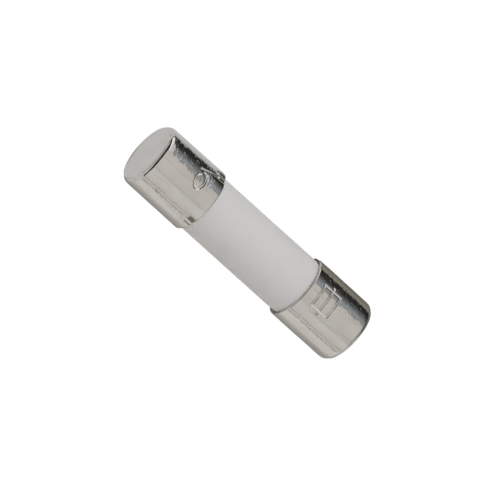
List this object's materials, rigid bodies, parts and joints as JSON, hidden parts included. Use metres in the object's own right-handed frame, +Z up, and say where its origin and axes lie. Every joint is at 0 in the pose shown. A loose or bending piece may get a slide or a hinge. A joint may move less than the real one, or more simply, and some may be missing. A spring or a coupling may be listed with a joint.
{
  "type": "cartridge fuse",
  "caption": "Small cylindrical cartridge fuse with a white ceramic tube, plated end caps, a wound element on a fibre core and a sand filling.",
  "frame": {"origin": "centre of the fuse, on its axis, midway between the two end faces", "axes": "+X along the fuse's axis from the left cap to the right cap, +Z up through the side that carries the stamped marks"},
  "size_m": [0.0204, 0.0051, 0.005],
  "materials": {
    "tube_ceramic": "matte",
    "cap_nickel": "satin",
    "sand": "matte",
    "core_yarn": "matte",
    "silvered_wire": "satin",
    "tin": "satin",
    "fibre": "matte",
    "cement": "matte"
  },
  "bodies": {
    "root": {"ceramic_tube": "tube_ceramic", "end_cap_left": "cap_nickel", "end_cap_right": "cap_nickel", "quartz_filler": "sand", "wire_core": "core_yarn", "fuse_wire": "silvered_wire", "tin_bead": "tin", "solder_left": "tin", "solder_right": "tin", "washer_left": "fibre", "washer_right": "fibre", "cement_ring_left": "cement", "cement_ring_right": "cement"}
  },
  "joints": []
}
